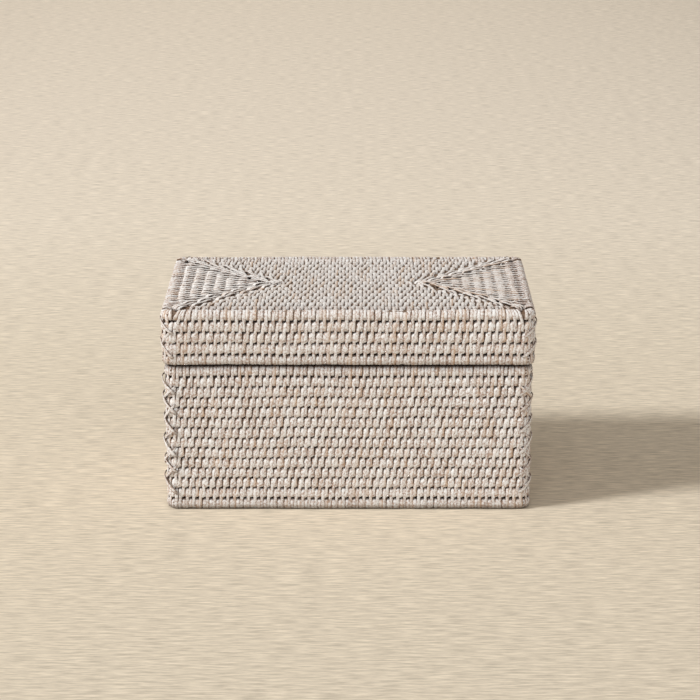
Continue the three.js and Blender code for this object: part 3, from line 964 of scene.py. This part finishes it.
# The depth marks darken each strip where it dives into the top: painted shade.
short_finish = [
    (lid_ride, 0.0, 1.0, 0.0),
    (lid_ride * 0.72, -edge_side * 0.72, 1.12, 0.08),
    (lid_ride * 0.1, -edge_side, 1.0, 0.5),
    (-1.5 * MM, -edge_side, 0.8, 1.0),
]
long_finish = [
    (lid_ride, 0.0, ROD_WIDTH, 0.0),
    (lid_ride - WAIST_DIP * 0.8, -edge_to_ring / 2, WAIST_WIDTH, 0.12),
    (lid_ride, -edge_to_ring, ROD_WIDTH, 0.0),
    (lid_ride * 0.8, -edge_to_ring - ring_side * 0.6, END_WIDTH, 0.08),
    (lid_ride * 0.3, -edge_to_ring - ring_side * 0.95, 1.15, 0.5),
    (-lid_ride * 0.3, -edge_to_ring - ring_side * 0.95, 0.8, 1.0),
]
lid_foot, lid_edge = (-lid_spacing, lid_ride, lid_end_half), (lid_spacing, lid_ride, lid_end_half)
lid_wall = ("lid_wall", lid_spacing, lid_ride, lid_half, LID_PITCH, lid_foot, lid_edge, LID_SEAM_SHADE)
lid_strips = wall_set(*lid_wall, (short_finish, long_finish, short_finish))
lid_inner_strips = flat_set("lid_inner", lid_spacing, lid_rods[0]["r"], LID_PITCH)

# %% Lid walls
LONG_MARGIN = 4.0 * MM
CORNER_PULL = 0.48

lid_long_limits = {length: top_rings[0][length] - LONG_MARGIN for length in ("half_x", "half_y")}
wall("lid", lid_rods, lid_strips, lid_inner_strips, LID_PITCH, lid_spacing, lid_long_limits, CORNER_PULL)

# %% [markdown]
# ## The top and the floor
#
# Both are rods bent into rectangles, one inside another, with mitred corners. The columns of lacing
# run across the rods, so a panel from front to back fills the two long trapeziums and the middle,
# and a triangular one fills each end. Along each mitre the lacing runs along the diagonal, over the
# bends of the rings, where their spacing is longer by the square root of two.

# %% Flat panels
FLAT_SLIMNESS = 0.88
# The lower halves of the flat panels' strips, and of their end strips, are marked deeper: painted shade under
# the upper halves.
FLAT_LOW_SHADE = 0.22
# The wash is lifted on every ringed panel: painted light, for the extra light that the top takes from above.
FLAT_LIGHT_LIFT = 1.0
FLAT_WARMTH_LIFT = 0.22
END_SLIMNESS = 0.95
END_SHAPE = {"rise": 0.3 * MM, "dip": 0.2 * MM, "low_dirt": 0.3}
MITRE_MARGIN = 6.0 * MM
MITRE_PITCH = 3.3 * MM
MITRE_STRIP = 2.3 * MM
MITRE_SLOT = 0.6 * MM
MITRE_COLUMNS = 3
MITRE_FAN = math.radians(8)
MITRE_SPREAD = math.radians(5)
MITRE_RISE = 1.0 * MM
MITRE_TURN = math.radians(28)
MITRE_REACH = 9.0 * MM
SEED_STEPS = (0, 1, 2, 5, 6, 7, 8)


def matched(wall_count, exact, width):
    """Columns of a flat panel that line up with a wall's, and how many are left over at each end."""
    left_over = math.ceil((wall_count - width / exact) / 2)
    return wall_count - left_over * 2, left_over


def ringed(tag, rings, out, pitch, walls=None):
    """All the lacing of one face of a ringed panel, as a list of meshes. With walls, its columns
    carry on from the walls' own, whose long strips already cover the outermost ring."""
    level, radius = rings[0]["z"], rings[0]["r"]
    spacing = rings[0]["half_y"] - rings[1]["half_y"]
    apex = rings[-1]["half_x"] - rings[-1]["half_y"]
    width, depth = rings[0]["half_x"] * 2, rings[0]["half_y"] * 2
    front = {"columns": int(width / pitch), "pitch": pitch}
    end = {"columns": int(depth / pitch), "pitch": pitch}
    if walls:
        (front_wall, front_pitch), (end_wall, end_pitch) = walls
        count, left_over = matched(front_wall, front_pitch, width)
        front = {"columns": count, "pitch": front_pitch, "shift": (left_over + 1) % 2}
        front |= {"open_start": 1.0, "open_end": 1.0}
        count, _ = matched(end_wall, end_pitch, depth)
        end = {"columns": count, "pitch": end_pitch, "shift": (count + end_wall) // 2 % 2, "open_end": 1.0}
    shared = {"tone_lift": FLAT_LIGHT_LIFT, "warmth_lift": FLAT_WARMTH_LIFT, **SHAKEN_CANE}
    mitred = {"slope": 1.0, "lean": LEAN * 0.5, "lean_spread": LEAN_SPREAD * 2, "spacing": spacing}
    mitred |= {"edge_turn": MITRE_TURN, "edge_reach": MITRE_REACH, **shared}

    strips = flat_set(tag, spacing, radius, pitch * FLAT_SLIMNESS, low_dirt=FLAT_LOW_SHADE)
    front |= {"strips": strips, "rods": len(rings) * 2 + 1, "first_rod": -rings[1]["half_y"], **mitred}
    panels = [((0, 0, level), (0, 1, 0), {**front, "limit": apex - MITRE_MARGIN})]
    strips = flat_set(f"{tag}_end", spacing, radius, pitch * END_SLIMNESS, **END_SHAPE)
    end |= {"strips": strips, "rods": len(rings), "first_rod": spacing * 2, "limit": -MITRE_MARGIN, **mitred}
    panels += [((apex * side, 0, level), (side, 0, 0), end) for side in (1, -1)]

    diagonal = spacing * math.sqrt(2)
    strips = flat_set(f"{tag}_mitre", diagonal, radius + MITRE_RISE, MITRE_STRIP, MITRE_SLOT)
    mitre = {"strips": strips, "rods": len(rings) + 1, "first_rod": diagonal, "spacing": diagonal, **shared}
    mitre |= {"pitch": MITRE_PITCH, "columns": MITRE_COLUMNS, "lean_spread": MITRE_SPREAD, "fan": MITRE_FAN}
    for sx, sy in ((1, 1), (1, -1), (-1, 1), (-1, -1)):
        panels.append(((apex * sx, 0, level), Vector((sx, sy, 0)).normalized(), mitre))
    return [
        baked(panel_tree, facing(place, along, out), **values, seed=SEEDS[tag] + step)
        for step, (place, along, values) in zip(SEED_STEPS, panels)
    ]


lid_walls = [wall_columns(lid_rods, length, LID_PITCH) for length in ("half_x", "half_y")]
print("lid columns", lid_walls)
piece("lid_top_weave", ringed("lid_top", top_rings, UP, LID_PITCH, lid_walls), "lid", "lid_top_lacing")
piece("lid_top_weave_inside", ringed("lid_under", top_rings, DOWN, LID_PITCH), "lid")
piece("floor_weave", ringed("floor_top", floor_rings, UP, BASE_PITCH), "base", "floor_lacing")
piece("floor_weave_underside", ringed("floor_under", floor_rings, DOWN, BASE_PITCH), "base")

# %% [markdown]
# ## The corner lashings
#
# At each upright corner the rods bend through a right angle. The lacing goes on round the bend, so
# a narrow panel is baked flat and then bent in numpy, which narrows its strips towards the inside
# just as real cane crowds there. Over it, long strips climb round the corner on a slant. One family
# leads, broad and on the outside, and a narrower one crosses under it the other way.

# %% Corner strips
CORNER_THICKNESS = 0.9 * MM
# Crossing strips are darkened a little all over. Their undersides, which show along their sides, are painted
# much darker as shadow outlines, and their ends darken as they dive, as painted shade.
CROSSING_LEAST_DARKENING = 0.08
CROSSING_SIDE_SHADE = 0.9
CROSSING_RISE = 2.1
CROSSING_STRAIGHT = 2.2 * MM
CROSSING_STATIONS = 13
DIVE_FROM = 0.72
DIVE_DEPTH = 3.6 * MM
LEADING = (2.8 * MM, 1.1 * MM)
FOLLOWING = (2.0 * MM, 0.35 * MM)
QUARTER = math.radians(90)


def crossing_strip(name, ride, spacing, climb, lead):
    """A long strip round the corner, with both ends diving into a gap. The one whose climb is the
    lead's lies outside, and is broader."""
    width, lift = LEADING if climb == lead else FOLLOWING
    bend = QUARTER * (CORNER_BEND + ride)
    total = bend + CROSSING_STRAIGHT * 2
    points, normals, widths, deeps = [], [], [], []
    for i in range(CROSSING_STATIONS):
        share = i / (CROSSING_STATIONS - 1)
        walked = share * total
        dive = max(0.0, abs(share - 0.5) * 2 - DIVE_FROM) / (1 - DIVE_FROM)
        out = ride + lift - DIVE_DEPTH * dive**1.5
        angle = math.radians(-90.0 + 90.0 * min(max(walked - CROSSING_STRAIGHT, 0.0), bend) / bend)
        direction = Vector((math.cos(angle), math.sin(angle), 0))
        before = max(0.0, CROSSING_STRAIGHT - walked)
        after = max(0.0, walked - (total - CROSSING_STRAIGHT))
        level = (share - 0.5) * spacing * CROSSING_RISE * climb
        points.append(direction * (CORNER_BEND + out) + Vector((-before, after, level)))
        normals.append(direction)
        widths.append(width * (1.0 - 0.3 * dive))
        deeps.append(max(CROSSING_LEAST_DARKENING, min(1.0, dive)))
    return strip_mesh(name, points, normals, widths, deeps, CORNER_THICKNESS, CROSSING_SIDE_SHADE)


def crossing_set(tag, spacing, ride, lead):
    """One set, for the way that its leading strips climb: 1 or -1."""
    climbs = enumerate((lead, -lead))
    return strip_set(tag, [crossing_strip(f"{tag}_{i}", ride, spacing, climb, lead) for i, climb in climbs])


# %% Corner binding tree
LEVEL_SPREAD = 2.0 * MM
CROSSING_SCALES = ((0.98, 1.02), (0.98, 1.02), (0.78, 1.15))
CROSSING_SHAKE = 160.0

corner_inputs = {
    **SHARED_INPUTS,
    "Pairs": 4,
    "Step": 19.0 * MM,
    "First Level": 0.0,
    "Last Level": 1.0,
    "Bulge": 0.0,
}
corner_tree, corner_in, corner_out = new_tree(
    "corner binding", "GeometryNodeTree", corner_inputs, TREE_OUTPUTS
)
t, given = corner_tree, corner_in.outputs
plus, times, times_plus = sums(t, "ADD", "MULTIPLY", "MULTIPLY_ADD")
dice = partial(chance, t, given["Seed"])
row, family = row_and_column(t, 2.0)
level = times_plus(times_plus(family, 0.5, row), given["Step"], given["First Level"])
bulge = times(given["Bulge"], dice(0.5, 1.0, 27))
position = vector_of(t, bulge, times(bulge, -1.0), plus(level, dice(-LEVEL_SPREAD, LEVEL_SPREAD, 26)))
wanted = maths(t, "LESS_THAN", level, given["Last Level"])
scale = vector_of(t, *(dice(low, high, 21 + i) for i, (low, high) in enumerate(CROSSING_SCALES)))
flow = strips_at(t, given, times(given["Pairs"], 2.0), position, wanted, family, Scale=scale)
flow = made_real(t, flow, dice(0.0, 1.0, 24), maths(t, "POWER", dice(0.0, 1.0, 25), WARM_POWER))
finished(t, given, corner_out, shaken(t, given, flow, CROSSING_SHAKE, 1.0))

# %% Corner bindings
CORNERS = {"front_right": 0, "back_right": 90, "back_left": 180, "front_left": 270}
CORNER_COLUMNS = 5
AXIS_GAP = 0.3 * MM
BASE_LEVELS = {"first_level": 23.0 * MM, "last_level": 120.0 * MM, "pairs": 6}
LID_LEVELS = {"first_level": 151.0 * MM, "last_level": 173.0 * MM, "pairs": 2}
LEFT_BULGE = 1.6 * MM


def bent(mesh, radius):
    """Wraps a flat panel round an upright bend: local X becomes the way round its outside, Y the
    height and Z the distance out. Its middle faces halfway between -Y and +X."""
    x, y, z = places_of(mesh).reshape(-1, 3).T
    angle = x / radius - QUARTER / 2
    out = np.maximum(CORNER_BEND + z, AXIS_GAP)
    made = np.stack([out * np.cos(angle), out * np.sin(angle), y], axis=1)
    mesh.vertices.foreach_set("co", made.ravel())
    mesh.update()
    return mesh


def corners(body, rod_list, ride, weave_set, crossings, spacing, levels, left_bulge, long_limit):
    """The lacing round the four bends of the base or the lid, and the strips that cross over it."""
    radius = CORNER_BEND + ride
    seed = SEEDS[f"{body}_corner"]
    for number, (name, degrees) in enumerate(CORNERS.items()):
        turn = Matrix.Rotation(math.radians(degrees), 4, "Z")
        sign = turn.to_3x3() @ Vector((1, -1, 0))
        centre_x = math.copysign(rod_list[1]["half_x"] - CORNER_BEND, sign.x)
        centre_y = math.copysign(rod_list[1]["half_y"] - CORNER_BEND, sign.y)
        place_there = Matrix.Translation(Vector((centre_x, centre_y, 0))) @ turn
        weave = baked(
            panel_tree,
            Matrix.Identity(4),
            strips=weave_set,
            columns=CORNER_COLUMNS,
            rods=len(rod_list),
            pitch=QUARTER * radius / CORNER_COLUMNS,
            spacing=spacing,
            first_rod=rod_list[1]["z"],
            long_limit=long_limit,
            lean_spread=LEAN_SPREAD,
            wobble=WOBBLE,
            sway=SWAY * 0.5,
            seed=seed + number + INNER_SEED,
            finish=cane,
        )
        bent(weave, radius).transform(place_there)
        crossing = baked(
            corner_tree,
            place_there,
            **levels,
            strips=crossings[number % 2],
            step=spacing * 2,
            bulge=left_bulge if "left" in name else 0.0,
            wobble=WOBBLE,
            seed=seed + number,
            finish=cane,
        )
        piece(f"{body}_corner_binding_{name}", [weave, crossing], body, f"{body}_corner_lashing_{name}")


crossings = [crossing_set(f"base_corner_{lead}", base_spacing, base_ride, lead) for lead in (1, -1)]
corners("base", base_rods, base_ride, base_strips, crossings, base_spacing, BASE_LEVELS, LEFT_BULGE, 1.0)
crossings = [crossing_set(f"lid_corner_{lead}", lid_spacing, lid_ride, lead) for lead in (1, -1)]
corners("lid", lid_rods, lid_ride, lid_strips, crossings, lid_spacing, LID_LEVELS, 0.0, -1.0)

# %% [markdown]
# ## Finishing the rods and the collar
#
# The rods and the collar are shown as the CAD has them. They only need their material, which goes
# into each object's slot.

# %% Rod finish
replaced = {name for name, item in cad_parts.items() if item.hide_render}
for name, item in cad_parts.items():
    if name not in replaced:
        if not item.material_slots:
            item.data.materials.append(rattan)
        item.material_slots[0].material = collar if name == "locating_collar" else rattan
print(len(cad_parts) - len(replaced), "nodes keep their CAD shape,", len(replaced), "are replaced")

# %% [markdown]
# ## Floor, backdrop and light
#
# The box stands on a pale cloth-covered sweep. A sweep, one sheet that curves up behind, leaves no
# hard line. The key light is soft, to the left, a little in front and about 38 degrees up, which
# throws the shadow to the right and back. A weak wide light from above the camera and a pale world
# fill the front. Sun lamps are used because their light is the same all over the floor.

# %% Sweep
SWEEP_HALF = 6.0
SWEEP_FRONT = -4.0
SWEEP_BACK = 3.6
SWEEP_BEND = 1.2
SWEEP_TOP = 6.0
SWEEP_STEPS = 16

profile = [(SWEEP_FRONT, 0.0)]
for i in range(SWEEP_STEPS + 1):
    a = math.radians(90 * i / SWEEP_STEPS)
    profile.append((SWEEP_BACK + SWEEP_BEND * math.sin(a), SWEEP_BEND * (1 - math.cos(a))))
profile.append((SWEEP_BACK + SWEEP_BEND, SWEEP_TOP))
vertices = [(x, y, z) for y, z in profile for x in (-SWEEP_HALF, SWEEP_HALF)]
faces = [(2 * i, 2 * i + 1, 2 * i + 3, 2 * i + 2) for i in range(len(profile) - 1)]
sweep_mesh = bpy.data.meshes.new("sweep")
sweep_mesh.from_pydata(vertices, [], faces)
sweep_mesh.shade_smooth()
sweep = bpy.data.objects.new("sweep", sweep_mesh)
bpy.context.scene.collection.objects.link(sweep)

# %% Sweep cloth
CLOTH_NEAR, CLOTH_FAR = -0.6, 3.2
CLOTH_LEFT, CLOTH_RIGHT = -0.6, 0.9
RIGHT_SHADE = 0.88
CORNER_SHADE = -0.08
THREADS = (50.0, 400.0, 400.0)
THREAD_CONTRAST = 1.1
# The ramp's colours go lighter and darker with depth: the cloth's own colour with painted light falling
# across the sweep.
CLOTH_AND_LIGHT_ENDS = ((222, 212, 195), (218, 209, 196))
CLOTH_AND_LIGHT_STOPS = {0.14: (224, 213, 195), 0.26: (226, 216, 199), 0.42: (231, 222, 208), 0.6: (227, 218, 205)}

cloth, tree, shader = new_material("sweep_cloth")
minus, times, times_plus = sums(tree, "SUBTRACT", "MULTIPLY", "MULTIPLY_ADD")
place = node(tree, "ShaderNodeTexCoord").outputs["Object"]
across, back, _ = node(tree, "ShaderNodeSeparateXYZ", {0: place}).outputs
drawn = vector_maths(tree, "MULTIPLY", place, THREADS)
values = {"Vector": drawn, "Scale": 1.0, "Detail": 3.0, "Roughness": 0.6}
threads = node(tree, "ShaderNodeTexNoise", values).outputs["Fac"]
depth = remap(tree, back, CLOTH_NEAR, CLOTH_FAR, 0.0, 1.0)
ramp = node(tree, "ShaderNodeValToRGB", {0: depth})
for stop, colour in zip(ramp.color_ramp.elements, CLOTH_AND_LIGHT_ENDS):
    stop.color = srgb(*colour)
for stop, colour in CLOTH_AND_LIGHT_STOPS.items():
    ramp.color_ramp.elements.new(stop).color = srgb(*colour)
sideways = remap(tree, across, CLOTH_LEFT, CLOTH_RIGHT, 1.0, RIGHT_SHADE)
far_edge = times(maths(tree, "POWER", maths(tree, "ABSOLUTE", across), 2.0), depth)
sideways = times_plus(far_edge, CORNER_SHADE, sideways)
lift = times_plus(minus(threads, 0.5), THREAD_CONTRAST, sideways)
put(tree, shader.inputs["Base Color"], vector_maths(tree, "SCALE", ramp.outputs["Color"], lift))
shader.inputs["Roughness"].default_value = 0.9
shader.inputs["Specular IOR Level"].default_value = 0.0
sweep_mesh.materials.append(cloth)

# %% Lights
KEY = {"towards": (-0.749, -0.26, 0.609), "spread": math.radians(12), "strength": 0.82 * math.pi}
FILL = {"towards": (0.1, -0.85, 0.53), "spread": math.radians(70), "strength": 0.18 * math.pi}
KEY_TINT = (1.0, 0.985, 0.95)
WORLD_COLOUR = (1.0, 0.91, 0.8, 1)
WORLD_STRENGTH = 0.4


def sun(name, towards, spread, strength, tint=(1.0, 1.0, 1.0)):
    """A lamp so far off that it lights everything alike. Spread is its apparent size."""
    data = bpy.data.lights.new(name, "SUN")
    data.angle = spread
    data.energy = strength
    data.color = tint
    made = bpy.data.objects.new(name, data)
    made.rotation_mode = "QUATERNION"
    made.rotation_quaternion = Vector(towards).to_track_quat("Z", "Y")
    bpy.context.scene.collection.objects.link(made)


sun("key", **KEY, tint=KEY_TINT)
sun("front_fill", **FILL)

world = bpy.data.worlds.new("world")
bpy.context.scene.world = world
world.use_nodes = True
background = world.node_tree.nodes["Background"]
background.inputs["Color"].default_value = WORLD_COLOUR
background.inputs["Strength"].default_value = WORLD_STRENGTH
bpy.context.scene.view_settings.view_transform = "Standard"
